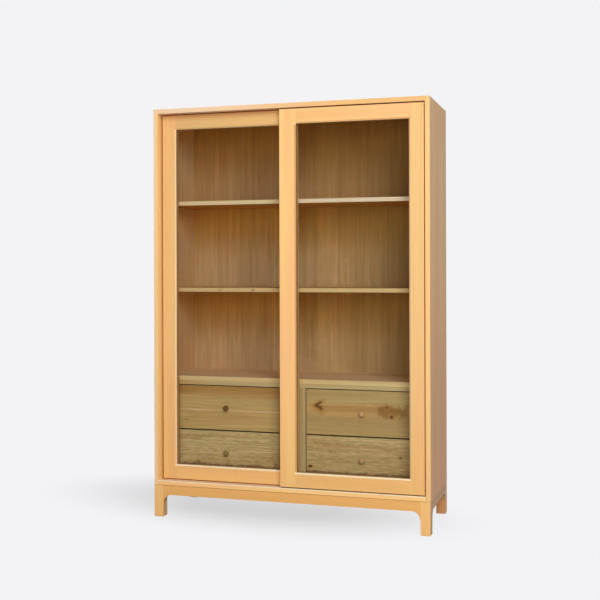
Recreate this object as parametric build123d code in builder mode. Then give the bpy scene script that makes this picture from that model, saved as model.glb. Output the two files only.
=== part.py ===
from build123d import *
import os

# Glazed sliding-door kitchen cabinet on a low leg frame, in millimetres.
# X runs to the right, Y to the back and Z up. The origin is on the floor,
# under the middle of the cabinet.

# ---- Overall ----
width = 1230.0
depth = 435.0
height = 1800.0
edge_round = 1.2  # eased edges of the boards that a hand meets

# ---- Leg frame ----
base_height = 140.0
leg_size = 42.0
foot_chamfer = 2.0
apron_height = 42.0
apron_thickness = 20.0
bracket_radius = 34.0  # hollow curve at each end of an apron
bracket_land = 2.5  # flat tip under that curve
apron_tenon_length = 24.0
apron_tenon_thickness = 8.0
apron_tenon_shoulder = 6.0

# ---- Carcass boards ----
board = 20.0
board_tongue_length = 8.0
board_tongue_thickness = 8.0
board_tongue_setback = 70.0  # stopped behind the door grooves, and as far from the rear
back_thickness = 9.0
back_inset = 10.0  # from the rear edges to the back boards
back_housing = 6.0  # depth of its groove
back_board_count = 5
back_board_lap = 8.0
joint_gap = 0.3  # between boards or beads that meet edge to edge

# ---- Shelves ----
shelf_thickness = 18.0
shelf_setback = 90.0  # from the cabinet front to the shelf and drawer fronts
shelf_housing = 6.0
lower_shelf_underside = 992.0
upper_shelf_underside = 1378.0

# ---- Drawer unit ----
unit_height = 616.0  # floor to the top of the drawer unit
unit_top_thickness = 20.0
unit_rail_height = 18.0
front_thickness = 18.0  # drawer fronts, rails and posts
centre_post_width = 113.0
side_post_width = 35.5
divider_thickness = 18.0
drawer_gap = 2.0  # round each drawer

# ---- Drawers ----
drawer_side_thickness = 15.0
drawer_side_height = 165.0
drawer_side_lift = 4.0  # from the front's lower edge to the sides
drawer_rear_clearance = 16.0
drawer_back_thickness = 12.0
drawer_back_housing = 4.0
drawer_back_inset = 10.0  # from the rear ends of the sides
drawer_bottom_thickness = 5.0
drawer_bottom_lift = 10.0
drawer_bottom_housing = 5.0
tail_count = 4
tail_length = 12.0
tail_slope = 0.17
pin_width = 11.0  # between the tails, at the shoulder

# ---- Drawer runners ----
runner_height = 16.0
runner_groove_depth = 7.0
runner_setback = 4.0  # behind the drawer front
running_clearance = 0.3

# ---- Knobs ----
knob_diameter = 25.0
knob_foot_diameter = 15.0
knob_neck_diameter = 11.5
knob_projection = 16.0
knob_neck_height = 4.0  # of the narrowest ring above the front
knob_shoulder = 10.0  # of the widest ring above the front
spigot_diameter = 8.0
spigot_length = 16.0
spigot_clearance = 0.1

# ---- Sliding doors ----
door_thickness = 28.0
front_door_setback = 3.0
door_spacing = 3.0  # between the two doors
door_side_gap = 4.5
door_overlap = 63.0
left_door_ajar = 4.0  # the left door stands this far off its stop
outer_stile = 63.0
meeting_stile = 73.0
door_rail = 63.0
sill_gap = 5.0  # under the door's shoulder
head_gap = 5.5
door_bevel = 6.0
rail_tenon_length = 38.0
rail_tenon_thickness = 9.0
rail_tenon_shoulder = 12.0
glass_thickness = 4.0
glass_setback = 12.0
glass_rebate = 8.0
glass_clearance = 1.0

# ---- Door grooves ----
groove_width = 10.0
sill_groove_depth = 5.0
head_groove_depth = 14.0
head_engagement = 8.0

# ---- Places worked out from the sizes above ----
left = -width / 2
right = width / 2
front = -depth / 2
rear = depth / 2
inner_left = left + board
inner_right = right - board
floor_top = base_height + board
ceiling = height - board
back_face = rear - back_inset - back_thickness
unit_front = front + shelf_setback
unit_back_of_fronts = unit_front + front_thickness
unit_underside = unit_height - unit_top_thickness
apron_underside = base_height - apron_height

opening_inner = centre_post_width / 2
opening_outer = inner_right - side_post_width
opening_low = floor_top + unit_rail_height
opening_high = unit_underside - unit_rail_height
drawer_width = opening_outer - opening_inner - 2 * drawer_gap
drawer_centre = (opening_outer + opening_inner) / 2
drawer_front_height = (opening_high - opening_low - 3 * drawer_gap) / 2
lower_drawer_z = opening_low + drawer_gap
upper_drawer_z = lower_drawer_z + drawer_front_height + drawer_gap
drawer_rear = back_face - drawer_rear_clearance
runner_lift = drawer_side_lift + (drawer_side_height - runner_height) / 2

door_width = inner_right - door_side_gap + door_overlap / 2
door_low = floor_top + sill_gap
door_high = ceiling - head_gap
front_door_face = front + front_door_setback
rear_door_face = front_door_face + door_thickness + door_spacing
tongue_width = groove_width - 2 * running_clearance
tongue_low = floor_top - sill_groove_depth + running_clearance
tongue_high = ceiling + head_engagement

os.makedirs("parts", exist_ok=True)


def span(a, b):
    return (min(a, b), max(a, b))


# Adds or cuts a block between two places along each axis.
def block(x, y, z, mode=Mode.ADD):
    middle = ((x[0] + x[1]) / 2, (y[0] + y[1]) / 2, (z[0] + z[1]) / 2)
    with Locations(middle):
        Box(x[1] - x[0], y[1] - y[0], z[1] - z[0], mode=mode)


def finish(piece, name):
    piece.part.label = name
    export_step(piece.part, f"parts/{name}.step")


# ======================= Leg frame =======================


# The tenon of the front or rear apron in the leg at one corner.
def long_tenon(side, end):
    shoulder = side * (right - leg_size)
    middle = end * (rear - apron_thickness / 2)
    x = span(shoulder, shoulder + side * apron_tenon_length)
    y = (middle - apron_tenon_thickness / 2, middle + apron_tenon_thickness / 2)
    z = (apron_underside + apron_tenon_shoulder, base_height - apron_tenon_shoulder)
    return x, y, z


# The tenon of a side apron in the same leg.
def short_tenon(side, end):
    shoulder = end * (rear - leg_size)
    middle = side * (right - apron_thickness / 2)
    x = (middle - apron_tenon_thickness / 2, middle + apron_tenon_thickness / 2)
    y = span(shoulder, shoulder + end * apron_tenon_length)
    z = (apron_underside + apron_tenon_shoulder, base_height - apron_tenon_shoulder)
    return x, y, z


def make_leg(name, side, end):
    with BuildPart() as leg:
        block(
            span(side * right, side * (right - leg_size)),
            span(end * rear, end * (rear - leg_size)),
            (0, base_height),
        )
        chamfer(leg.faces().sort_by(Axis.Z)[0].edges(), foot_chamfer)
        outer_corner = leg.edges().filter_by(Axis.Z).sort_by_distance((side * right, end * rear, 0))[0]
        fillet(outer_corner, edge_round)
        block(*long_tenon(side, end), mode=Mode.SUBTRACT)
        block(*short_tenon(side, end), mode=Mode.SUBTRACT)
    finish(leg, name)


# An apron stands on its own plane: local X along it, local Y up, and the
# plane's normal pointing in under the cabinet.
def make_apron(name, plane, half_length, tenons):
    foot = apron_underside - bracket_radius
    tip = half_length - bracket_land
    curve = tip - bracket_radius
    with BuildPart() as apron:
        with BuildSketch(plane):
            with BuildLine():
                Polyline((tip, foot), (half_length, foot), (half_length, base_height))
                Line((half_length, base_height), (-half_length, base_height))
                Polyline((-half_length, base_height), (-half_length, foot), (-tip, foot))
                CenterArc((-curve, foot), bracket_radius, 90, 90)
                Line((-curve, apron_underside), (curve, apron_underside))
                CenterArc((curve, foot), bracket_radius, 0, 90)
            make_face()
        extrude(amount=apron_thickness)
        for tenon in tenons:
            block(*tenon)
    finish(apron, name)


make_leg("leg_front_left", -1, -1)
make_leg("leg_front_right", 1, -1)
make_leg("leg_rear_left", -1, 1)
make_leg("leg_rear_right", 1, 1)

half_long = right - leg_size
half_short = rear - leg_size
make_apron(
    "apron_front",
    Plane((0, front, 0), x_dir=(-1, 0, 0), z_dir=(0, 1, 0)),
    half_long,
    [long_tenon(-1, -1), long_tenon(1, -1)],
)
make_apron(
    "apron_rear",
    Plane((0, rear, 0), x_dir=(1, 0, 0), z_dir=(0, -1, 0)),
    half_long,
    [long_tenon(-1, 1), long_tenon(1, 1)],
)
make_apron(
    "apron_left",
    Plane((left, 0, 0), x_dir=(0, 1, 0), z_dir=(1, 0, 0)),
    half_short,
    [short_tenon(-1, -1), short_tenon(-1, 1)],
)
make_apron(
    "apron_right",
    Plane((right, 0, 0), x_dir=(0, -1, 0), z_dir=(-1, 0, 0)),
    half_short,
    [short_tenon(1, -1), short_tenon(1, 1)],
)


# ======================= Carcass =======================

# The space that the back boards and their grooves share.
back_x = (inner_left - back_housing, inner_right + back_housing)
back_y = (back_face, back_face + back_thickness)
back_z = (floor_top - back_housing, ceiling + back_housing)


# The tongue along each end of the top or bottom board.
def board_tongue(underside):
    low = underside + (board - board_tongue_thickness) / 2
    x = (inner_left - board_tongue_length, inner_right + board_tongue_length)
    y = (front + board_tongue_setback, rear - board_tongue_setback)
    return x, y, (low, low + board_tongue_thickness)


# A shelf with its ends housed in the cabinet sides.
def shelf_space(underside, thickness):
    x = (inner_left - shelf_housing, inner_right + shelf_housing)
    return x, (unit_front, back_face), (underside, underside + thickness)


housed = [
    board_tongue(base_height),
    board_tongue(ceiling),
    shelf_space(lower_shelf_underside, shelf_thickness),
    shelf_space(upper_shelf_underside, shelf_thickness),
    shelf_space(unit_underside, unit_top_thickness),
    (back_x, back_y, back_z),
]


def make_side(name, side):
    with BuildPart() as panel:
        block(span(side * right, side * inner_right), (front, rear), (base_height, height))
        outer_face = panel.faces().filter_by(Axis.X).sort_by(Axis.X)[-1 if side > 0 else 0]
        outer_edges = outer_face.edges().filter_by(Axis.Z) + outer_face.edges().sort_by(Axis.Z)[-1:]
        fillet(outer_edges, edge_round)
        for space in housed:
            block(*space, mode=Mode.SUBTRACT)
    finish(panel, name)


# The grooves that the doors run in, along the sill or the head.
def cut_door_grooves(low, high):
    for face in (front_door_face, rear_door_face):
        middle = face + door_thickness / 2
        block(
            (inner_left, inner_right),
            (middle - groove_width / 2, middle + groove_width / 2),
            (low, high),
            mode=Mode.SUBTRACT,
        )


make_side("side_left", -1)
make_side("side_right", 1)

with BuildPart() as top_board:
    block((inner_left, inner_right), (front, rear), (ceiling, height))
    fillet(top_board.edges().filter_by(Axis.X).group_by(Axis.Z)[-1], edge_round)
    block(*board_tongue(ceiling))
    block(back_x, back_y, back_z, mode=Mode.SUBTRACT)
    cut_door_grooves(ceiling, ceiling + head_groove_depth)
finish(top_board, "top_board")

with BuildPart() as bottom_board:
    block((inner_left, inner_right), (front, rear), (base_height, floor_top))
    fillet(bottom_board.edges().filter_by(Axis.X).group_by(Axis.Z)[-1].sort_by(Axis.Y)[0], edge_round)
    block(*board_tongue(base_height))
    block(back_x, back_y, back_z, mode=Mode.SUBTRACT)
    cut_door_grooves(floor_top - sill_groove_depth, floor_top)
finish(bottom_board, "bottom_board")

# Upright back boards, each lapping over its neighbour by half its thickness.
board_pitch = (back_x[1] - back_x[0]) / back_board_count
half_back_y = back_face + back_thickness / 2
with BuildPart() as back_boards:
    for number in range(back_board_count):
        start = back_x[0] + number * board_pitch
        end = start + board_pitch - joint_gap
        lap_start = start if number == 0 else start + back_board_lap
        lap_end = end if number == back_board_count - 1 else end + back_board_lap
        block((start, end), (back_y[0], half_back_y - joint_gap), back_z)
        block((lap_start, end), back_y, back_z)
        block((lap_start, lap_end), (half_back_y, back_y[1]), back_z)
finish(back_boards, "back_boards")


def make_shelf(name, underside, thickness):
    with BuildPart() as shelf:
        block(*shelf_space(underside, thickness))
        front_edges = shelf.edges().filter_by(Axis.X).group_by(Axis.Y)[0]
        fillet(front_edges, edge_round)
    finish(shelf, name)


make_shelf("shelf_lower", lower_shelf_underside, shelf_thickness)
make_shelf("shelf_upper", upper_shelf_underside, shelf_thickness)


# ======================= Drawer unit =======================

make_shelf("unit_top", unit_underside, unit_top_thickness)

with BuildPart() as unit_rails:
    for low in (floor_top, opening_high):
        block((inner_left, inner_right), (unit_front, unit_back_of_fronts), (low, low + unit_rail_height))
finish(unit_rails, "unit_rails")

with BuildPart() as post_centre:
    block(
        (-opening_inner, opening_inner),
        (unit_front, unit_back_of_fronts),
        (opening_low, opening_high),
    )
finish(post_centre, "post_centre")

with BuildPart() as posts_outer:
    for side in (-1, 1):
        block(
            span(side * opening_outer, side * inner_right),
            (unit_front, unit_back_of_fronts),
            (opening_low, opening_high),
        )
finish(posts_outer, "posts_outer")


# An upright board behind the posts, with one face at the drawer opening.
def make_upright(name, opening_face, away):
    with BuildPart() as upright:
        block(
            span(opening_face, opening_face + away * divider_thickness),
            (unit_back_of_fronts, back_face),
            (floor_top, unit_underside),
        )
    finish(upright, name)


make_upright("divider_left", -opening_inner, 1)
make_upright("divider_right", opening_inner, -1)
make_upright("unit_side_left", -opening_outer, -1)
make_upright("unit_side_right", opening_outer, 1)

# Eight strips that the drawers hang on, two to a drawer.
runner_thickness = drawer_gap + runner_groove_depth - running_clearance
with BuildPart() as drawer_runners:
    for drawer_z in (lower_drawer_z, upper_drawer_z):
        for side in (-1, 1):
            for face, reach in ((opening_inner, 1), (opening_outer, -1)):
                block(
                    span(side * face, side * (face + reach * runner_thickness)),
                    (unit_back_of_fronts + runner_setback, back_face - runner_setback),
                    (drawer_z + runner_lift, drawer_z + runner_lift + runner_height),
                )
finish(drawer_runners, "drawer_runners")


# ======================= Drawers =======================


# Trapezoids of the tails at the front end of a drawer side, drawn in the
# plane of the side: local X to the back, local Y up.
def draw_tails(low):
    pitch = drawer_side_height / tail_count
    root = (pitch - pin_width) / 2
    tip = root + tail_length * tail_slope
    shoulder = unit_back_of_fronts
    for number in range(tail_count):
        middle = low + pitch * (number + 0.5)
        Polygon(
            (shoulder, middle - root),
            (shoulder, middle + root),
            (shoulder - tail_length, middle + tip),
            (shoulder - tail_length, middle - tip),
            align=None,
        )


def make_drawer(name, centre, low):
    x_left = centre - drawer_width / 2
    x_right = centre + drawer_width / 2
    side_low = low + drawer_side_lift
    side_high = side_low + drawer_side_height
    high = low + drawer_front_height
    knob_z = (low + high) / 2
    inside_left = x_left + drawer_side_thickness
    inside_right = x_right - drawer_side_thickness
    bottom_z = side_low + drawer_bottom_lift
    bottom_space = (
        (inside_left - drawer_bottom_housing, inside_right + drawer_bottom_housing),
        (unit_back_of_fronts - drawer_bottom_housing, drawer_rear),
        (bottom_z, bottom_z + drawer_bottom_thickness),
    )
    back_space = (
        (inside_left - drawer_back_housing, inside_right + drawer_back_housing),
        (drawer_rear - drawer_back_inset - drawer_back_thickness, drawer_rear - drawer_back_inset),
        (bottom_z + drawer_bottom_thickness, side_high),
    )

    with BuildPart() as drawer_front:
        block((x_left, x_right), (unit_front, unit_back_of_fronts), (low, high))
        fillet(drawer_front.faces().sort_by(Axis.Y)[0].edges(), edge_round)
        block(*bottom_space, mode=Mode.SUBTRACT)
        for start in (x_left, inside_right):
            with BuildSketch(Plane.YZ.offset(start)):
                draw_tails(side_low)
            extrude(amount=drawer_side_thickness, mode=Mode.SUBTRACT)
        knob_hole = Plane((centre, unit_front, knob_z), x_dir=(1, 0, 0), z_dir=(0, -1, 0))
        with BuildSketch(knob_hole):
            Circle(spigot_diameter / 2 + spigot_clearance)
        extrude(amount=-front_thickness, mode=Mode.SUBTRACT)
    finish(drawer_front, f"{name}_front")

    for end, start, groove in (
        ("left", x_left, (x_left, x_left + runner_groove_depth)),
        ("right", inside_right, (x_right - runner_groove_depth, x_right)),
    ):
        with BuildPart() as drawer_side:
            block(
                (start, start + drawer_side_thickness),
                (unit_back_of_fronts, drawer_rear),
                (side_low, side_high),
            )
            with BuildSketch(Plane.YZ.offset(start)):
                draw_tails(side_low)
            extrude(amount=drawer_side_thickness)
            block(*bottom_space, mode=Mode.SUBTRACT)
            block(*back_space, mode=Mode.SUBTRACT)
            block(
                groove,
                (unit_back_of_fronts, drawer_rear),
                (
                    low + runner_lift - running_clearance,
                    low + runner_lift + runner_height + running_clearance,
                ),
                mode=Mode.SUBTRACT,
            )
        finish(drawer_side, f"{name}_side_{end}")

    with BuildPart() as drawer_back:
        block(*back_space)
    finish(drawer_back, f"{name}_back")

    with BuildPart() as drawer_bottom:
        block(*bottom_space)
    finish(drawer_bottom, f"{name}_bottom")

    # Turned knob: local X is its radius, local Y how far it stands out.
    turning = Plane((centre, unit_front, knob_z), x_dir=(1, 0, 0), z_dir=(0, 0, -1))
    foot = knob_foot_diameter / 2
    neck = knob_neck_diameter / 2
    head = knob_diameter / 2
    crown = knob_projection - knob_shoulder
    crown_radius = (head**2 + crown**2) / (2 * crown)
    with BuildPart() as knob:
        with BuildSketch(turning):
            with BuildLine():
                Polyline(
                    (0, -spigot_length),
                    (spigot_diameter / 2, -spigot_length),
                    (spigot_diameter / 2, 0),
                    (foot, 0),
                )
                ThreePointArc((foot, 0), (neck, knob_neck_height), (head, knob_shoulder))
                RadiusArc((head, knob_shoulder), (0, knob_projection), -crown_radius)
                Line((0, knob_projection), (0, -spigot_length))
            make_face()
        revolve(axis=Axis((centre, unit_front, knob_z), (0, -1, 0)))
    finish(knob, f"{name}_knob")


for column, column_centre in (("left", -drawer_centre), ("right", drawer_centre)):
    make_drawer(f"drawer_lower_{column}", column_centre, lower_drawer_z)
    make_drawer(f"drawer_upper_{column}", column_centre, upper_drawer_z)


# ======================= Sliding doors =======================


# side is -1 for the door whose outer stile is on the left, or 1.
def make_door(name, side, outer_edge, face):
    meeting_edge = outer_edge - side * door_width
    pane_outer = outer_edge - side * outer_stile
    pane_inner = meeting_edge + side * meeting_stile
    pane_x = span(pane_outer, pane_inner)
    pane_z = (door_low + door_rail, door_high - door_rail)
    thickness = (face, face + door_thickness)
    middle = face + door_thickness / 2
    tongue = (middle - tongue_width / 2, middle + tongue_width / 2)
    tenon = (middle - rail_tenon_thickness / 2, middle + rail_tenon_thickness / 2)
    rebate_x = (pane_x[0] - glass_rebate, pane_x[1] + glass_rebate)
    rebate_z = (pane_z[0] - glass_rebate, pane_z[1] + glass_rebate)
    glass_front = face + glass_setback
    glass_back = glass_front + glass_thickness
    pane_plane = Plane(
        ((pane_x[0] + pane_x[1]) / 2, face, (pane_z[0] + pane_z[1]) / 2),
        x_dir=(-1, 0, 0),
        z_dir=(0, 1, 0),
    )
    tenon_heights = (
        (door_low + rail_tenon_shoulder, pane_z[0] - rail_tenon_shoulder),
        (pane_z[1] + rail_tenon_shoulder, door_high - rail_tenon_shoulder),
    )
    tenon_x = (pane_x[0] - rail_tenon_length, pane_x[1] + rail_tenon_length)

    # The bevel round the pane, mitred at the corners, and the rebate behind it.
    with BuildPart() as pane_space:
        with BuildSketch(pane_plane):
            Rectangle(pane_x[1] - pane_x[0] + 2 * door_bevel, pane_z[1] - pane_z[0] + 2 * door_bevel)
        extrude(amount=door_bevel, taper=45)
        block(rebate_x, (glass_front, face + door_thickness), rebate_z)

    for place, edge, inner in (("outer", outer_edge, pane_outer), ("meeting", meeting_edge, pane_inner)):
        with BuildPart() as stile:
            block(span(edge, inner), thickness, (door_low, door_high))
            long_edges = stile.edges().filter_by(Axis.Z).group_by(Axis.Y)[0]
            fillet(long_edges.sort_by_distance((edge, face, 0))[0], edge_round)
            block(span(edge, inner), tongue, (tongue_low, tongue_high))
            add(pane_space.part, mode=Mode.SUBTRACT)
            for heights in tenon_heights:
                block(tenon_x, tenon, heights, mode=Mode.SUBTRACT)
        finish(stile, f"{name}_stile_{place}")

    for place, rail_z, tongue_z, heights in (
        ("bottom", (door_low, pane_z[0]), (tongue_low, pane_z[0]), tenon_heights[0]),
        ("top", (pane_z[1], door_high), (pane_z[1], tongue_high), tenon_heights[1]),
    ):
        with BuildPart() as rail:
            block(pane_x, thickness, rail_z)
            block(pane_x, tongue, tongue_z)
            add(pane_space.part, mode=Mode.SUBTRACT)
            block(tenon_x, tenon, heights)
        finish(rail, f"{name}_rail_{place}")

    with BuildPart() as glass:
        block(
            (rebate_x[0] + glass_clearance, rebate_x[1] - glass_clearance),
            (glass_front, glass_back),
            (rebate_z[0] + glass_clearance, rebate_z[1] - glass_clearance),
        )
    finish(glass, f"{name}_glass")

    # Upright beads run the full height and the level ones stand between them.
    with BuildPart() as beads:
        bead_y = (glass_back, face + door_thickness)
        block((rebate_x[0], pane_x[0]), bead_y, rebate_z)
        block((pane_x[1], rebate_x[1]), bead_y, rebate_z)
        level_x = (pane_x[0] + joint_gap, pane_x[1] - joint_gap)
        block(level_x, bead_y, (rebate_z[0], pane_z[0]))
        block(level_x, bead_y, (pane_z[1], rebate_z[1]))
    finish(beads, f"{name}_beads")


closed_edge = inner_right - door_side_gap
make_door("door_left", -1, -closed_edge + left_door_ajar, rear_door_face)
make_door("door_right", 1, closed_edge, front_door_face)
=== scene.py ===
import math

import bmesh
import bpy
from mathutils import Matrix, Vector
from mathutils.geometry import interpolate_bezier


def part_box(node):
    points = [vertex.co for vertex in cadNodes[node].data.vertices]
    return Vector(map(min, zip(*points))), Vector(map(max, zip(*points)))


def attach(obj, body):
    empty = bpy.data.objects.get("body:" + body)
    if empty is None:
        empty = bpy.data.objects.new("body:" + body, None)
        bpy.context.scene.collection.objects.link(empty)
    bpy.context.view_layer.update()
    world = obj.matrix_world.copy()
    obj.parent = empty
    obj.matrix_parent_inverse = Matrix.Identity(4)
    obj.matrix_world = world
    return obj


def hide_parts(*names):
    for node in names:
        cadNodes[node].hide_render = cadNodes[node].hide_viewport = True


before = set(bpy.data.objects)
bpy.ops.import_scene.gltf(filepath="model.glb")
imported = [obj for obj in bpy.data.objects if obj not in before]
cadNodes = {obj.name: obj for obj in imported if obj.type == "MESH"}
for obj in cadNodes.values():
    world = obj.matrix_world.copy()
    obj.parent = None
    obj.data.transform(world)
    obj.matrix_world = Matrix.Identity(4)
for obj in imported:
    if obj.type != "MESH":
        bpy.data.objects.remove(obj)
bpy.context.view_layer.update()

print("frame loaded:", len(cadNodes), "nodes")


# a colour as a screen shows it, from 0 to 255, turned into light and multiplied by tone
def screenColour(colour, tone=1.0):
    light = []
    for value in colour:
        part = value / 255
        light.append(tone * (part / 12.92 if part <= 0.04045 else ((part + 0.055) / 1.055) ** 2.4))
    return (*light, 1.0)


def feed(tree, socket, value):
    if isinstance(value, bpy.types.NodeSocket):
        tree.links.new(value, socket)
    else:
        socket.default_value = value


def addNode(tree, kind, inputs=None, **settings):
    made = tree.nodes.new("ShaderNode" + kind)
    for key, value in settings.items():
        setattr(made, key, value)
    for name, value in (inputs or {}).items():
        feed(tree, made.inputs[name], value)
    return made


def calc(tree, operation, *values):
    return addNode(tree, "Math", dict(enumerate(values)), operation=operation).outputs[0]


def joinAxes(tree, x=0.0, y=0.0, z=0.0):
    return addNode(tree, "CombineXYZ", {0: x, 1: y, 2: z}).outputs[0]


def splitAxes(tree, value):
    return addNode(tree, "SeparateXYZ", {0: value}).outputs


def objectPlace(tree):
    return addNode(tree, "TexCoord").outputs["Object"]


def lengthOf(tree, value):
    return addNode(tree, "VectorMath", {0: value}, operation="LENGTH").outputs["Value"]


def blendColour(tree, factor, first, second, mode="MIX"):
    made = addNode(tree, "Mix", data_type="RGBA", blend_type=mode)
    for socket, value in ((0, factor), (6, first), (7, second)):
        feed(tree, made.inputs[socket], value)
    return made.outputs[2]


# 1 as far as full, going smoothly to 0 at gone
def fadeOut(tree, value, full, gone):
    inputs = {"Value": value, "From Min": full, "From Max": gone, "To Min": 1.0, "To Max": 0.0}
    return addNode(tree, "MapRange", inputs, interpolation_type="SMOOTHSTEP").outputs[0]


def noise(tree, vector, detail=2.0, roughness=0.5, scale=1.0):
    inputs = {"Vector": vector, "Scale": scale, "Detail": detail, "Roughness": roughness}
    return addNode(tree, "TexNoise", inputs)


def newMaterial(name):
    material = bpy.data.materials.new(name)
    material.use_nodes = True
    material.node_tree.nodes.clear()
    return material


# grain that all the turned knobs share
turnedGrain = {
    "ringsPerMetre": 500,
    "ringDepth": 0.4,
    "bands": 0.08,
    "streaks": 0.05,
    "dashes": 0.0,
    "fibre": 0.1,
}
# early and late are the two halves of a year's growth, blush a warmer streak that comes and goes
woodLooks = {
    "frame": {
        "early": (253, 205, 133),
        "late": (240, 182, 106),
        "blush": (254, 192, 130),
        "ringsPerMetre": 380,
        "ringDepth": 0.42,
        "bands": 0.06,
        "streaks": 0.04,
        "dashes": 0.0,
        "fibre": 0.07,
        "roughness": 0.46,
        "gloss": 0.25,
    },
    "side": {
        "early": (222, 184, 128),
        "late": (202, 158, 104),
        "blush": (222, 168, 118),
        "ringsPerMetre": 260,
        "ringDepth": 0.30,
        "bands": 0.09,
        "streaks": 0.09,
        "dashes": 0.03,
        "fibre": 0.06,
        "roughness": 0.55,
        "gloss": 0.2,
    },
    "inner": {
        "early": (214, 178, 116),
        "late": (180, 138, 76),
        "blush": (212, 162, 102),
        "ringsPerMetre": 300,
        "ringDepth": 0.45,
        "bands": 0.12,
        "streaks": 0.10,
        "dashes": 0.05,
        "fibre": 0.14,
        "roughness": 0.6,
        "gloss": 0.1,
    },
    "back": {
        "early": (194, 146, 82),
        "late": (152, 106, 44),
        "blush": (190, 134, 76),
        "ringsPerMetre": 150,
        "ringDepth": 0.12,
        "bands": 0.20,
        "streaks": 0.26,
        "streaksPerMetre": 60,
        "dashes": 0.08,
        "fibre": 0.16,
        "roughness": 0.62,
        "gloss": 0.08,
    },
    "unit": {
        "early": (226, 200, 148),
        "late": (192, 158, 102),
        "blush": (218, 180, 126),
        "ringsPerMetre": 260,
        "ringDepth": 0.45,
        "bands": 0.14,
        "streaks": 0.14,
        "dashes": 0.06,
        "fibre": 0.16,
        "roughness": 0.6,
        "gloss": 0.1,
    },
    "drawer": {
        "early": (206, 170, 112),
        "late": (164, 126, 72),
        "blush": (196, 148, 92),
        "ringsPerMetre": 230,
        "ringDepth": 0.20,
        "bands": 0.14,
        "streaks": 0.16,
        "dashes": 0.10,
        "fibre": 0.26,
        "roughness": 0.6,
        "gloss": 0.1,
    },
    "drawerCoarse": {
        "early": (202, 174, 122),
        "late": (156, 126, 78),
        "blush": (192, 156, 106),
        "ringsPerMetre": 260,
        "ringDepth": 0.14,
        "bands": 0.14,
        "streaks": 0.28,
        "dashes": 0.46,
        "fibre": 0.46,
        "roughness": 0.64,
        "gloss": 0.1,
    },
    "knob": {
        "early": (210, 174, 124),
        "late": (178, 136, 88),
        "blush": (202, 156, 108),
        **turnedGrain,
        "roughness": 0.55,
        "gloss": 0.14,
    },
    "knobDark": {
        "early": (134, 98, 54),
        "late": (106, 74, 38),
        "blush": (122, 86, 46),
        **turnedGrain,
        "roughness": 0.7,
        "gloss": 0.06,
    },
    "knobOlive": {
        "early": (150, 124, 76),
        "late": (118, 94, 54),
        "blush": (138, 110, 66),
        **turnedGrain,
        "roughness": 0.7,
        "gloss": 0.06,
    },
}
# duller, because the light from behind grazes the top
woodLooks["lid"] = {**woodLooks["frame"], "roughness": 0.64, "gloss": 0.12}

# colours of knots, seams, stains and dirt, and the painted highlights, painted shade and painted light on
# arrises, bevels, gaps, recesses and faces that stand in another light
woodMarks = {
    "knot": (78, 46, 22),
    "halo": (168, 112, 56),
    # painted highlight along arrises that face the light
    "arrisHighlight": (255, 236, 198),
    # painted highlight on the bevels round a pane
    "bevel": (252, 208, 164),
    "shadedBevel": (204, 150, 90),
    "sideEdge": (247, 197, 133),
    "paleEdge": (254, 212, 158),
    "paleLeft": (255, 218, 178),
    "jambLight": (255, 208, 136),
    "jambLightRight": (250, 190, 116),
    "sideFront": (217, 166, 102),
    "sideLow": (206, 167, 124),
    # painted colour of the shade under each shelf, on the inner side walls
    "sideShadeTone": (232, 182, 104),
    "foot": (196, 138, 100),
    "rearBand": (220, 164, 104),
    "rearLeg": (214, 140, 84),
    "warmApron": (240, 178, 98),
    "lowWarm": (250, 190, 98),
    "shade": (150, 98, 52),
    "unitTop": (232, 194, 160),
    "upperShelf": (232, 206, 180),
    "upperShelfLeft": (228, 200, 156),
    "lowerShelf": (212, 178, 126),
    "shelfUnderBounce": (212, 142, 56),
    # tones of the back: painted light low in each bay, painted shade under the shelves and to the right
    "backLitTone": (186, 151, 114),
    "backShadeTone": (202, 138, 54),
    "backShade": (140, 92, 32),
    "backOlive": (160, 130, 74),
    "backOutside": (214, 174, 120),
    "seam": (150, 88, 38),
    # painted shade in the grooves and gaps round the doors
    "grooveShade": (158, 74, 16),
    "gapShade": (96, 48, 16),
    "gapSideShade": (214, 128, 40),
    # painted shade in a pane's reveal
    "lip": (92, 59, 31),
    "railTopShadow": (178, 112, 52),
    "drawerGapShade": (60, 36, 8),
    "endShade": (120, 74, 36),
    "heart": (152, 100, 54),
    "dirtAndShade": (92, 58, 36),
    # grime, and the painted shadow of the knobs
    "grimeAndShadow": (136, 100, 52),
    "olive": (190, 166, 116),
    "warm": (204, 154, 92),
    "crown": (166, 118, 62),
}

# metres from a board's middle to the heart of the tree, across its width and through its
# thickness, how far the heart leans along the board, and how far it wanders
sawnWays = {
    "straight": {"across": 0.260, "through": 0.050, "lean": 0.004, "wander": 0.030},
    "rift": {"across": 0.090, "through": 0.085, "lean": 0.012, "wander": 0.045},
    "flat": {"across": 0.012, "through": 0.060, "lean": 0.020, "wander": 0.040},
    "level": {"across": 0.030, "through": 0.110, "lean": 0.006, "wander": 0.030},
}
# fine marks: noise steps per metre along the grain and across it
grainNoises = {
    "fibre": {"along": 6.0, "across": 420.0, "detail": 3.0, "roughness": 0.65},
    "streaks": {"along": 2.6, "across": 95.0, "detail": 4.0, "roughness": 0.6},
    "dashes": {"along": 34.0, "across": 240.0, "detail": 3.0, "roughness": 0.6},
}
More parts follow.
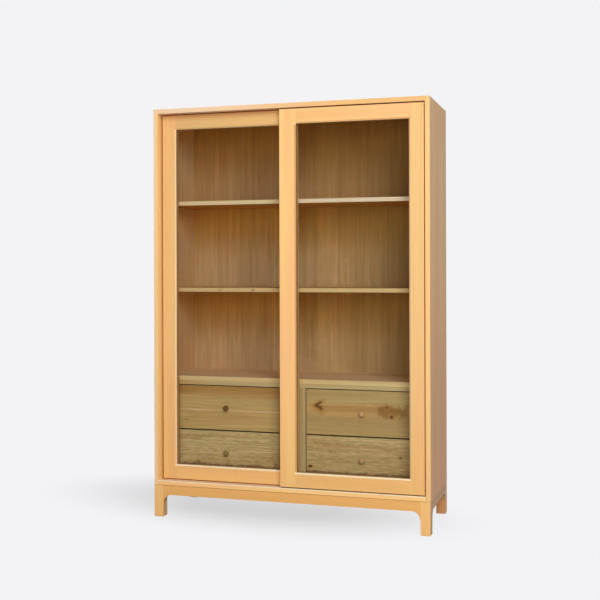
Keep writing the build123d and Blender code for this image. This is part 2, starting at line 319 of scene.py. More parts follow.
# how all wood is drawn, whatever its look
woodDrawing = {
    "wanderAlong": 1.1,  # noise steps per metre in the line of the heart
    "wanderChance": 9.0,
    "leanTurn": 1.3,  # metres after which the heart leans back
    "staveSeed": 7.31,
    "boardShift": 1.37,  # metres along the tree from board to board, and at most between staves
    "staveShift": 4.0,
    "yearSeed": 3.1,
    "widthNoise": 42.0,  # noise steps per metre in the widths of rings, and how many rings it moves
    "widthRings": 5.0,
    "lateStart": 0.30,  # share of a ring where late wood starts, and where it is darkest
    "lateFull": 0.86,
    "leastLate": 0.3,
    "bandAlong": 0.9,  # noise steps of broad bands, along the grain and out from the heart
    "bandRings": 34.0,
    "bandChance": 8.0,
    "bandDetail": 3.0,
    "blushFade": (0.62, 0.38),
    "blushShare": 0.8,
    "spread": 2.4,  # how much a mark of depth 1 changes the shade, and the same for fibres and staves
    "fibreSpread": 2.0,
    "staveSpread": 0.7,
    "warmDark": 1.3,  # darker wood loses blue faster
    "fibreRoughness": 0.16,
    "lateHeight": 0.5,
    "bump": 0.2,
    "bumpDepth": 0.0005,
}
# knots, in shares of their size where nothing else is said
knotDrawing = {
    "borderNoise": 90.0,  # steps per metre
    "borderDetail": 3.0,
    "borderRoughness": 0.6,
    "borderSpread": 1.2,
    "borderLeast": 0.4,
    "bend": 0.012,  # metres that the arms of a spike wander
    "opening": 0.5,  # how fast the arms part
    "armWeight": 1.2,  # the upper arm is the thinner one
    "weightRise": 22.0,  # per metre
    "leastWeight": 0.7,
    "pushReach": 5.0,
    "push": 1.2,
    "core": (0.3, 1.2),
    "halo": (0.5, 3.5),
}
# a patch's own softness and waves where its row gives none, and the form of those waves
patchDrawing = {"soft": 0.0004, "waves": 14.0, "detail": 4.0, "roughness": 0.6}
axisNumber = {"x": 0, "y": 1, "z": 2}
far = 3.0  # beyond any board


def middleOf(corners, axis):
    low, high = corners
    return (low[axisNumber[axis]] + high[axisNumber[axis]]) / 2


# how far a point lies from the heart of the tree that its stave was cut from
def heartDistance(tree, along, inStave, inThickness, chances, way):
    slow = joinAxes(
        tree,
        calc(tree, "MULTIPLY", along, woodDrawing["wanderAlong"]),
        inStave,
        calc(tree, "MULTIPLY", chances[1], woodDrawing["wanderChance"]),
    )
    wanders = splitAxes(tree, noise(tree, slow).outputs["Color"])
    half = way["wander"] / 2
    shiftAcross = calc(tree, "MULTIPLY_ADD", wanders[0], way["wander"], way["across"] - half)
    shiftThrough = calc(tree, "MULTIPLY_ADD", wanders[1], way["wander"], way["through"] - half)
    leaning = calc(tree, "MULTIPLY", calc(tree, "PINGPONG", along, woodDrawing["leanTurn"]), way["lean"])
    fromHeart = joinAxes(
        tree,
        calc(tree, "ADD", inStave, shiftAcross),
        calc(tree, "ADD", inThickness, calc(tree, "ADD", shiftThrough, leaning)),
    )
    return lengthOf(tree, fromHeart)


# a round knot, or with spike a knot cut along its length, which shows as two arms
def knotDistance(tree, along, across, knot):
    drawn = [knotDrawing[key] for key in ("borderDetail", "borderRoughness", "borderNoise")]
    border = noise(tree, joinAxes(tree, along, across), *drawn).outputs[0]
    offAlong = calc(tree, "SUBTRACT", along, knot["along"])
    offAcross = calc(tree, "SUBTRACT", across, knot["across"])
    if "spike" in knot:
        straight = calc(tree, "SUBTRACT", offAcross, knotDrawing["bend"] / 2)
        bent = calc(tree, "MULTIPLY_ADD", border, knotDrawing["bend"], straight)
        opening = calc(tree, "MULTIPLY", offAlong, knotDrawing["opening"])
        arms = calc(tree, "SUBTRACT", calc(tree, "ABSOLUTE", bent), opening)
        weight = calc(tree, "MULTIPLY_ADD", offAcross, knotDrawing["weightRise"], knotDrawing["armWeight"])
        weight = calc(tree, "MAXIMUM", weight, knotDrawing["leastWeight"])
        before = calc(tree, "MAXIMUM", calc(tree, "MULTIPLY", offAlong, -1.0), 0.0)
        beyond = calc(tree, "MAXIMUM", calc(tree, "SUBTRACT", offAlong, knot["spike"]), 0.0)
        distance = lengthOf(tree, joinAxes(tree, calc(tree, "MULTIPLY", arms, weight), before, beyond))
    else:
        distance = lengthOf(tree, joinAxes(tree, calc(tree, "DIVIDE", offAlong, knot["stretch"]), offAcross))
    ragged = calc(tree, "MULTIPLY_ADD", border, knotDrawing["borderSpread"], knotDrawing["borderLeast"])
    return calc(tree, "MULTIPLY", distance, ragged)


# height over the nearest of some levels below, which are given from the lowest up
def heightOver(tree, height, levels):
    over = calc(tree, "SUBTRACT", height, levels[0])
    for below, level in zip(levels, levels[1:]):
        passed = calc(tree, "GREATER_THAN", height, level)
        over = calc(tree, "MULTIPLY_ADD", passed, below - level, over)
    return over


# how much of a patch's colour a point takes. A patch is the whole board, or a box that is given by its
# span on one or more axes. With rim it reaches that far outside the box, and with edge it is a line
# inside its border. With wave the border wanders that far, and waves says how often for each metre.
# With levels it starts anew at each level, and fade gives the heights over one where it is full and
# gone. With inFrontOf it stays on the faces in front of that y.
def patchShare(tree, patch):
    spot = objectPlace(tree)
    place = splitAxes(tree, spot)
    allowed = patch.get("share", 1.0)
    if "levels" in patch:
        rise = fadeOut(tree, heightOver(tree, place[2], patch["levels"]), *patch["fade"])
        allowed = calc(tree, "MULTIPLY", rise, allowed)
    if "inFrontOf" in patch:
        inFront = calc(tree, "LESS_THAN", place[1], patch["inFrontOf"])
        allowed = calc(tree, "MULTIPLY", inFront, allowed)
    outside = -far
    for axis in "xyz":
        if axis in patch:
            low, high = patch[axis]
            off = calc(tree, "SUBTRACT", place[axisNumber[axis]], (low + high) / 2)
            off = calc(tree, "SUBTRACT", calc(tree, "ABSOLUTE", off), (high - low) / 2)
            outside = calc(tree, "MAXIMUM", outside, off)
    if "wave" in patch:
        scale = patch.get("waves", patchDrawing["waves"])
        waves = noise(tree, spot, patchDrawing["detail"], patchDrawing["roughness"], scale).outputs[0]
        shift = calc(tree, "MULTIPLY", calc(tree, "SUBTRACT", waves, 0.5), patch["wave"])
        outside = calc(tree, "ADD", outside, shift)
    soft = patch.get("soft", patchDrawing["soft"])
    if "edge" in patch:
        inside = fadeOut(tree, outside, -patch["edge"] - soft, -patch["edge"] + soft)
        share = calc(tree, "SUBTRACT", 1.0, inside)
    else:
        reach = patch.get("rim", 0.0)
        share = fadeOut(tree, outside, reach - soft, reach + soft)
    return calc(tree, "MULTIPLY", share, allowed)


def grainNoise(tree, kind, look, along, across, through):
    drawn = grainNoises[kind]
    perMetre = look.get(f"{kind}PerMetre", drawn["across"])
    place = joinAxes(
        tree,
        calc(tree, "MULTIPLY", along, drawn["along"]),
        calc(tree, "MULTIPLY", across, perMetre),
        calc(tree, "MULTIPLY", through, perMetre),
    )
    return noise(tree, place, drawn["detail"], drawn["roughness"]).outputs[0]


# wood for one node: grain and across are the axes along its fibres and across its staves
def woodMaterial(node, lookName, grain, across, sawn, staves, seed, tone=1.0, knots=(), patches=()):
    material = newMaterial(f"{node}_wood")
    tree = material.node_tree
    look = woodLooks[lookName]
    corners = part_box(node)
    through = ({"x", "y", "z"} - {grain, across}).pop()
    place = splitAxes(tree, objectPlace(tree))
    alongPlace, acrossPlace, throughPlace = (place[axisNumber[axis]] for axis in (grain, across, through))
    lowEdge = corners[0][axisNumber[across]]
    staveWidth = (corners[1][axisNumber[across]] - lowEdge) / staves

    # which stave of the board this is, and three chances drawn for it
    staveCount = calc(tree, "DIVIDE", calc(tree, "SUBTRACT", acrossPlace, lowEdge), staveWidth)
    staveNumber = calc(tree, "FLOOR", staveCount)
    inStave = calc(tree, "SUBTRACT", calc(tree, "SUBTRACT", staveCount, staveNumber), 0.5)
    inStave = calc(tree, "MULTIPLY", inStave, staveWidth)
    staveSeed = calc(tree, "ADD", staveNumber, seed * woodDrawing["staveSeed"])
    chance = addNode(tree, "TexWhiteNoise", {"W": staveSeed}, noise_dimensions="1D")
    chances = splitAxes(tree, chance.outputs["Color"])
    inTree = calc(tree, "ADD", alongPlace, seed * woodDrawing["boardShift"])
    along = calc(tree, "MULTIPLY_ADD", chances[0], woodDrawing["staveShift"], inTree)
    inThickness = calc(tree, "SUBTRACT", throughPlace, middleOf(corners, through))
    radius = heartDistance(tree, along, inStave, inThickness, chances, sawnWays[sawn])

    # knots push the rings aside, stand dark in the middle and stain the wood round them
    coreShade = haloShade = None
    for knot in knots:
        distance = knotDistance(tree, alongPlace, acrossPlace, knot)
        size = knot["size"]
        pushed = fadeOut(tree, distance, 0.0, size * knotDrawing["pushReach"])
        radius = calc(tree, "MULTIPLY_ADD", pushed, size * knotDrawing["push"], radius)
        core = fadeOut(tree, distance, *(size * reach for reach in knotDrawing["core"]))
        core = calc(tree, "MULTIPLY", core, knot["dark"])
        halo = fadeOut(tree, distance, *(size * reach for reach in knotDrawing["halo"]))
        halo = calc(tree, "MULTIPLY", halo, knot["halo"])
        coreShade = core if coreShade is None else calc(tree, "MAXIMUM", coreShade, core)
        haloShade = halo if haloShade is None else calc(tree, "MAXIMUM", haloShade, halo)

    # ring widths and the depth of the late wood vary from year to year
    widthPlace = calc(tree, "MULTIPLY", radius, woodDrawing["widthNoise"])
    widths = addNode(tree, "TexNoise", {"W": widthPlace, "Scale": 1.0}, noise_dimensions="1D")
    evenRings = calc(tree, "MULTIPLY", radius, look["ringsPerMetre"])
    ringPlace = calc(tree, "MULTIPLY_ADD", widths.outputs[0], woodDrawing["widthRings"], evenRings)
    ringNumber = calc(tree, "FLOOR", ringPlace)
    yearSeed = calc(tree, "ADD", ringNumber, seed * woodDrawing["yearSeed"])
    year = addNode(tree, "TexWhiteNoise", {"W": yearSeed}, noise_dimensions="1D")
    lateRamp = addNode(tree, "ValToRGB", {"Fac": calc(tree, "SUBTRACT", ringPlace, ringNumber)})
    ramp = lateRamp.color_ramp
    ramp.interpolation = "EASE"
    ramp.elements[0].position = woodDrawing["lateStart"]
    ramp.elements[0].color = (0, 0, 0, 1)
    ramp.elements[1].position = woodDrawing["lateFull"]
    ramp.elements[1].color = (1, 1, 1, 1)
    ramp.elements.new(1.0).color = (0, 0, 0, 1)
    least = woodDrawing["leastLate"]
    yearDepth = calc(tree, "MULTIPLY_ADD", year.outputs["Value"], 1.0 - least, least)
    lateAmount = calc(tree, "MULTIPLY", lateRamp.outputs["Color"], yearDepth)

    # broad bands of tone that follow the rings
    bandPlace = joinAxes(
        tree,
        calc(tree, "MULTIPLY", along, woodDrawing["bandAlong"]),
        calc(tree, "MULTIPLY", radius, woodDrawing["bandRings"]),
        calc(tree, "MULTIPLY", chances[2], woodDrawing["bandChance"]),
    )
    bands = splitAxes(tree, noise(tree, bandPlace, woodDrawing["bandDetail"]).outputs["Color"])

    early, late, blush = (screenColour(look[part], tone) for part in ("early", "late", "blush"))
    blushAmount = fadeOut(tree, bands[1], *woodDrawing["blushFade"])
    blushAmount = calc(tree, "MULTIPLY", blushAmount, woodDrawing["blushShare"])
    colour = blendColour(tree, blushAmount, early, blush)
    colour = blendColour(tree, calc(tree, "MULTIPLY", lateAmount, look["ringDepth"]), colour, late)
    for patch in patches:
        colour = blendColour(tree, patchShare(tree, patch), colour, screenColour(woodMarks[patch["mark"]]))

    # each noise makes the wood darker or paler round its own tone
    grainPlace = (along, acrossPlace, throughPlace)
    fibre = grainNoise(tree, "fibre", look, *grainPlace)
    streaks = grainNoise(tree, "streaks", look, *grainPlace)
    variations = [
        (bands[0], look["bands"] * woodDrawing["spread"]),
        (fibre, look["fibre"] * woodDrawing["fibreSpread"]),
        (chances[1], look["bands"] * woodDrawing["staveSpread"]),
        (streaks, look["streaks"] * woodDrawing["spread"]),
    ]
    if look["dashes"] > 0:
        dashes = grainNoise(tree, "dashes", look, *grainPlace)
        variations.append((dashes, look["dashes"] * woodDrawing["spread"]))
    shade = 1.0
    for value, depth in variations:
        amount = calc(tree, "MULTIPLY_ADD", calc(tree, "SUBTRACT", value, 0.5), depth, 1.0)
        shade = calc(tree, "MULTIPLY", shade, amount)
    shading = joinAxes(tree, shade, shade, calc(tree, "POWER", shade, woodDrawing["warmDark"]))
    colour = blendColour(tree, 1.0, colour, shading, "MULTIPLY")
    if knots:
        colour = blendColour(tree, haloShade, colour, screenColour(woodMarks["halo"]))
        colour = blendColour(tree, coreShade, colour, screenColour(woodMarks["knot"]))

    spread = woodDrawing["fibreRoughness"]
    rough = calc(tree, "MULTIPLY_ADD", fibre, spread, look["roughness"] - spread / 2)
    height = calc(tree, "MULTIPLY_ADD", lateAmount, woodDrawing["lateHeight"], fibre)
    relief = {"Height": height, "Strength": woodDrawing["bump"], "Distance": woodDrawing["bumpDepth"]}
    bump = addNode(tree, "Bump", relief)
    finish = {"Base Color": colour, "Roughness": rough, "Normal": bump.outputs[0]}
    surface = addNode(tree, "BsdfPrincipled", finish)
    surface.inputs["Specular IOR Level"].default_value = look["gloss"]
    addNode(tree, "OutputMaterial", {"Surface": surface.outputs[0]})
    return material


def dress(node, material):
    shape = cadNodes[node].data
    shape.materials.clear()
    shape.materials.append(material)


def edgeOf(node, axis, end):
    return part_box(node)[end][axisNumber[axis]]


# the span from a plane outwards, towards +1 or -1 on its axis
def outFrom(plane, towards):
    return (plane, far) if towards > 0 else (-far, plane)


frontFace = edgeOf("side_left", "y", 0)
rearFace = edgeOf("side_left", "y", 1)
baseTop = edgeOf("bottom_board", "z", 0)
floorTop = edgeOf("bottom_board", "z", 1)
ceiling = edgeOf("top_board", "z", 0)
bayFloors = [edgeOf(node, "z", 1) for node in ("unit_top", "shelf_lower", "shelf_upper")]
# metres over a bay's floor where its painted shade tone at the top and its painted light tone low down are
# full and gone
highFade = (0.37, 0.20)
lowFade = (0.06, 0.27)
# in metres: how thick lines, painted arris highlights and coloured faces are, where the door grooves lie,
# and how far in from the front or the rear the doors, bands and knots reach
carcassFinish = {
    "seam": 0.0012,
    "lip": 0.0022,
    "arrisHighlight": 0.0035,
    "face": 0.0005,
    "skin": 0.0015,
    "backSkin": 0.002,
    "innerSkin": 0.004,
    "grooveLip": 0.001,
    "headGroove": 0.015,
    "firstGroove": 0.004,
    "rearDoor": 0.034,
    "frontBand": 0.045,
    "behindDoors": 0.065,
    "rearBand": 0.030,
    "knotDepth": 0.006,
}
lipEnd = frontFace + carcassFinish["lip"]
behindFace = frontFace + carcassFinish["skin"]
rearDoorFace = frontFace + carcassFinish["rearDoor"]
behindDoors = frontFace + carcassFinish["behindDoors"]
grooves = (frontFace + carcassFinish["firstGroove"], behindDoors)
baseSeam = baseTop - carcassFinish["seam"]


# inward is 1 on the left board, whose inner face looks along +X
def sidePatches(node, inward):
    innerFace = edgeOf(node, "x", 1 if inward > 0 else 0)
    inside = outFrom(innerFace - inward * carcassFinish["innerSkin"], inward)
    behind = (behindDoors, far)
    edgeMark, jambLightMark = ("paleEdge", "jambLight") if inward > 0 else ("sideEdge", "jambLightRight")
    frontBand = {
        "mark": "sideFront", "y": (-far, frontFace + carcassFinish["frontBand"]), "z": (-far, 1.25),
        "soft": 0.03, "share": 0.7,
    }
    rearEdge = rearFace - carcassFinish["rearBand"]
    return (
        {"mark": "foot", "z": (-far, 0.75), "soft": 0.45, "share": 0.55},
        {"mark": "rearBand", "y": (rearEdge, far), "soft": 0.02, "share": 0.5},
        *(() if inward > 0 else (frontBand,)),
        {"mark": edgeMark, "y": (-far, lipEnd)},
        # the inner face beside the doors painted pale: painted light against the shade in the gap
        {"mark": jambLightMark, "x": inside, "y": (-far, behindDoors), "soft": 0.001, "share": 0.95},
        {"mark": "sideLow", "x": inside, "y": behind, "share": 0.9},
        # a warm, lighter tone at the top of each bay, painted where the shelf's shade falls
        {"mark": "sideShadeTone", "x": inside, "y": behind, "levels": bayFloors, "fade": highFade, "share": 0.9},
    )


def shelfPatches(node, mark):
    under = edgeOf(node, "z", 0) + carcassFinish["face"]
    return (
        # the shelf's underside painted warm orange: painted bounce light in its shade
        {"mark": "shelfUnderBounce", "z": (-far, under), "share": 0.9},
        {"mark": mark, "y": (-far, edgeOf(node, "y", 0) + carcassFinish["lip"]), "share": 0.9},
    )


def frontLegPatches(node, outward):
    outerFace = edgeOf(node, "x", 1 if outward > 0 else 0)
    return (
        {"mark": "lowWarm", "share": 0.2},
        {"mark": "shade", "y": (behindFace, far), "share": 0.3},
        {"mark": "shade", "x": outFrom(outerFace - outward * carcassFinish["skin"], outward), "share": 0.55},
        {"mark": "seam", "z": (baseSeam, far), "share": 0.8},
    )


# the inner face of the back: in each bay painted shade at the top and a painted light tint low down, painted
# shade to the right and in the top bay, and greener to the right
def backPatches():
    inner = {"inFrontOf": edgeOf("back_boards", "y", 0) + carcassFinish["backSkin"]}
    outer = edgeOf("back_boards", "y", 1) - carcassFinish["backSkin"]
    return (
        {"mark": "backOutside", "y": (outer, far), "share": 0.7},
        {"mark": "backShadeTone", **inner, "levels": bayFloors, "fade": highFade, "share": 0.85},
        {"mark": "backLitTone", **inner, "levels": bayFloors, "fade": lowFade, "share": 0.85},
        {"mark": "backShade", **inner, "x": (0.40, far), "soft": 0.12, "share": 0.70},
        {
            "mark": "backOlive", **inner, "x": (-0.02, far), "soft": 0.12,
            "wave": 1.6, "waves": 11.0, "share": 0.34,
        },
        {"mark": "backShade", **inner, "z": (1.41, far), "soft": 0.03, "share": 0.40},
    )


shelfLip = edgeOf("shelf_lower", "y", 0) + carcassFinish["knotDepth"]
shelfFoot = edgeOf("shelf_lower", "z", 0)
# half way up the lower shelf's front edge
edgeKnot = {"mark": "knot", "y": (-far, shelfLip), "z": (shelfFoot + 0.005, shelfFoot + 0.011)}
boardPatches = {
    "leg_front_left": frontLegPatches("leg_front_left", -1),
    "leg_front_right": frontLegPatches("leg_front_right", 1),
    "leg_rear_right": ({"mark": "rearLeg", "share": 0.65},),
    "apron_front": (
        {"mark": "warmApron", "share": 0.8},
        {"mark": "shade", "y": (behindFace, far), "share": 0.8},
        {"mark": "seam", "z": (baseSeam, far), "share": 0.8},
    ),
    "side_left": sidePatches("side_left", 1),
    "side_right": sidePatches("side_right", -1),
    "top_board": (
        {"mark": "paleLeft", "x": (-far, -0.1), "soft": 0.4, "share": 0.95},
        # the grooves over the doors painted dark: painted shade
        {
            "mark": "grooveShade", "y": grooves,
            "z": (ceiling + carcassFinish["grooveLip"], ceiling + carcassFinish["headGroove"]),
        },
    ),
    "bottom_board": (
        {"mark": "seam", "z": (-far, baseTop + carcassFinish["seam"]), "share": 0.8},
        # a pale band painted along the sill's top front edge: painted highlight
        {
            "mark": "arrisHighlight", "y": (-far, rearDoorFace), "z": (floorTop - carcassFinish["arrisHighlight"], far),
            "share": 0.95,
        },
        # the sill's grooves painted dark: painted shade
        {"mark": "grooveShade", "y": grooves, "z": (-far, floorTop - carcassFinish["grooveLip"])},
    ),
    "back_boards": backPatches(),
    "unit_rails": ({"mark": "warm", "x": (-far, -0.42), "soft": 0.1, "share": 0.55},),
    "unit_top": ({"mark": "unitTop", "z": (bayFloors[0] - carcassFinish["face"], far), "share": 0.6},),
    "shelf_upper": (
        *shelfPatches("shelf_upper", "upperShelf"),
        {"mark": "upperShelfLeft", "x": (-far, 0.0), "inFrontOf": shelfLip, "soft": 0.05, "share": 0.9},
    ),
    "shelf_lower": (
        *shelfPatches("shelf_lower", "lowerShelf"),
        {**edgeKnot, "x": (-0.188, -0.177), "soft": 0.004, "share": 0.75},
        {**edgeKnot, "x": (-0.345, -0.329), "soft": 0.006, "share": 0.35},
    ),
}

# node: (look, grain, across, sawn, staves, tone)
boards = {
    "leg_front_left": ("frame", "z", "x", "rift", 1, 1.0),
    "leg_front_right": ("frame", "z", "x", "rift", 1, 0.97),
    "leg_rear_left": ("frame", "z", "x", "rift", 1, 0.8),
    "leg_rear_right": ("frame", "z", "x", "rift", 1, 0.8),
    "apron_front": ("frame", "x", "z", "straight", 1, 0.91),
    "apron_rear": ("frame", "x", "z", "straight", 1, 0.95),
    "apron_left": ("side", "y", "z", "straight", 1, 0.72),
    "apron_right": ("side", "y", "z", "straight", 1, 0.72),
    "side_left": ("side", "z", "y", "rift", 3, 1.0),
    "side_right": ("side", "z", "y", "rift", 3, 1.0),
    "top_board": ("lid", "x", "y", "rift", 3, 0.94),
    "bottom_board": ("frame", "x", "y", "rift", 3, 1.07),
    "back_boards": ("back", "z", "x", "rift", 5, 0.87),
    "shelf_lower": ("inner", "x", "y", "rift", 3, 0.9),
    "shelf_upper": ("inner", "x", "y", "rift", 3, 0.9),
    "unit_top": ("unit", "x", "y", "flat", 3, 1.0),
    "unit_rails": ("unit", "x", "z", "straight", 1, 0.82),
    "post_centre": ("unit", "z", "x", "straight", 1, 0.7),
    "posts_outer": ("unit", "z", "x", "straight", 1, 0.7),
    "divider_left": ("inner", "z", "y", "rift", 2, 0.95),
    "divider_right": ("inner", "z", "y", "rift", 2, 0.95),
    "unit_side_left": ("inner", "z", "y", "rift", 2, 0.95),
    "unit_side_right": ("inner", "z", "y", "rift", 2, 0.95),
    "drawer_runners": ("inner", "y", "z", "straight", 1, 0.9),
}
# the first number that each kind of piece draws its chances from, the step to the next door or
# drawer, and the step from a drawer's front to its knob
seeds = {"board": 1, "door": 40, "bead": 60, "drawer": 70, "step": 10, "knob": 6}

for seed, (node, (look, grain, across, sawn, staves, tone)) in enumerate(boards.items(), seeds["board"]):
    patches = boardPatches.get(node, ())
    dress(node, woodMaterial(node, look, grain, across, sawn, staves, seed, tone, patches=patches))
print("carcass boards dressed")

# see-through head on, with a sheen that grows as the pane turns away
glassPane = {
    "tint": (0.965, 0.975, 0.955, 1.0),
    "leastSheen": 0.001,
    "sideSheen": 0.9,
    "falloff": 3.0,
    "roughness": 0.02,
}


def glassMaterial(name, look):
    material = newMaterial(name)
    tree = material.node_tree
    facing = addNode(tree, "LayerWeight", {"Blend": 0.5}).outputs["Facing"]
    turned = calc(tree, "POWER", facing, look["falloff"])
    sheen = calc(tree, "MULTIPLY_ADD", turned, look["sideSheen"], look["leastSheen"])
    clear = addNode(tree, "BsdfTransparent", {"Color": look["tint"]})
    mirror = addNode(tree, "BsdfAnisotropic", {"Roughness": look["roughness"]})
    mixed = addNode(tree, "MixShader", {0: sheen, 1: clear.outputs[0], 2: mirror.outputs[0]})
    addNode(tree, "OutputMaterial", {"Surface": mixed.outputs[0]})
    return material


clearGlass = glassMaterial("clear_glass", glassPane)

# part: (grain, across)
doorParts = {
    "stile_outer": ("z", "x"),
    "stile_meeting": ("z", "x"),
    "rail_bottom": ("x", "z"),
    "rail_top": ("x", "z"),
}
doorTones = {
    "door_left": {"stile_outer": 0.92, "stile_meeting": 0.93, "rail_bottom": 0.94, "rail_top": 0.81},
    "door_right": {"stile_outer": 0.91, "stile_meeting": 1.03, "rail_bottom": 0.89, "rail_top": 0.96},
}
# the beads are made dark: painted shade behind the glass
beadTone = 0.45
# metres: the doors' play under the head and over the sill, the bevel round the pane, and how far
# down from the head the painted shadow on the left door reaches
doorFit = {"headGap": 0.0055, "sillGap": 0.005, "bevel": 0.006, "skin": 0.0005, "shadeDepth": 0.022}
# painted shade in the gaps over, under and beside each door, and how high the shaded line beside it goes
doorGaps = {
    "door_left": {"mark": "grooveShade", "sideMark": "grooveShade", "sideTop": far},
    "door_right": {"mark": "gapShade", "sideMark": "gapSideShade", "sideTop": 1.45},
}


def doorPatches(door):
    stiles = (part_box(f"{door}_stile_{place}") for place in ("outer", "meeting"))
    leftStile, rightStile = sorted(stiles, key=lambda corners: corners[0][0])
    paneLeft, paneRight = leftStile[1][0], rightStile[0][0]
    paneLow, paneHigh = edgeOf(f"{door}_rail_bottom", "z", 1), edgeOf(f"{door}_rail_top", "z", 0)
    face = edgeOf(f"{door}_stile_outer", "y", 0)
    outward = -1 if door == "door_left" else 1
    outerEdge = edgeOf(f"{door}_stile_outer", "x", 1 if outward > 0 else 0)
    bevel, skin = doorFit["bevel"], doorFit["skin"]
    gapShade = doorGaps[door]
    paneSides = (paneLow, paneHigh - bevel)
    # the right door's left bevel, which faces the key lamp, painted dark: painted shade
    shadedBevel = {"mark": "shadedBevel", "x": (paneLeft - bevel, paneLeft), "z": paneSides, "share": 0.85}
    # the left door's top rail darkened under the head: painted shadow of the top board
    shadeFoot = ceiling - doorFit["shadeDepth"]
    shadedTop = {"mark": "railTopShadow", "z": (shadeFoot, far), "soft": 0.018, "share": 0.6}
    return (
        {"mark": "lowWarm", "z": (-far, 0.30), "soft": 0.35, "share": 0.4},
        # the bevels round the pane painted pale: painted highlight
        {"mark": "bevel", "x": (paneLeft, paneRight), "z": paneSides, "rim": bevel, "share": 0.6},
        *(() if outward < 0 else (shadedBevel,)),
        # the pane's bottom bevel painted pale: painted highlight where light from above falls
        {
            "mark": "arrisHighlight", "x": (paneLeft - bevel, paneRight + bevel), "z": (paneLow - bevel, paneLow),
            "share": 0.8,
        },
        # the reveal between the bevel and the glass painted dark: painted shade
        {
            "mark": "lip", "x": (paneLeft - skin, paneRight + skin), "y": (face + bevel, far),
            "z": (paneLow - skin, paneHigh + skin), "share": 0.9,
        },
        *((shadedTop,) if outward < 0 else ()),
        # the rails' edges in the head and sill gaps painted dark: painted shade
        {"mark": gapShade["mark"], "z": (ceiling - doorFit["headGap"], far)},
        {"mark": gapShade["mark"], "z": (-far, floorTop + doorFit["sillGap"])},
        # the outer stile's side face in the gap painted dark orange-brown: painted shade
        {
            "mark": gapShade["sideMark"], "x": outFrom(outerEdge - outward * skin, outward),
            "y": (face + carcassFinish["skin"], far), "z": (-far, gapShade["sideTop"]),
            "soft": 0.0006, "share": 0.6,
        },
    )


for doorNumber, (door, tones) in enumerate(doorTones.items()):
    patches = doorPatches(door)
    for partNumber, (part, (grain, across)) in enumerate(doorParts.items()):
        node = f"{door}_{part}"
        seed = seeds["door"] + doorNumber * seeds["step"] + partNumber
        wood = woodMaterial(node, "frame", grain, across, "straight", 1, seed, tones[part], patches=patches)
        dress(node, wood)
    beads = f"{door}_beads"
    dress(beads, woodMaterial(beads, "frame", "z", "x", "straight", 1, seeds["bead"] + doorNumber, beadTone))
    dress(f"{door}_glass", clearGlass)
print("doors dressed")


def roundKnot(along, across, size, dark, halo=0.25, stretch=1.5):
    return {"along": along, "across": across, "size": size, "dark": dark, "halo": halo, "stretch": stretch}


# a streak of heartwood between two places along the grain
def heartStreak(ends, height, half, share):
    return {
        "mark": "heart", "x": ends, "z": (height - half, height + half),
        "soft": 0.006, "wave": 0.014, "share": share,
    }


# stains and painted shade along the foot of a front, under the door's bottom rail: a dark line, and a faint
# tint under it
def footStainAndShade(height, share):
    line = {"mark": "dirtAndShade", "z": (height - 0.018, height), "soft": 0.006, "wave": 0.036, "waves": 34.0}
    return {**line, "share": share}, {"mark": "dirtAndShade", "z": (-far, height), "soft": 0.008, "share": 0.25}


# both ends of the left-hand fronts stand in the door frame's shade
endShades = (
    {"mark": "endShade", "x": (-far, -0.535), "soft": 0.020, "share": 0.6},
    {"mark": "endShade", "x": (-0.062, far), "soft": 0.016, "share": 0.6},
)

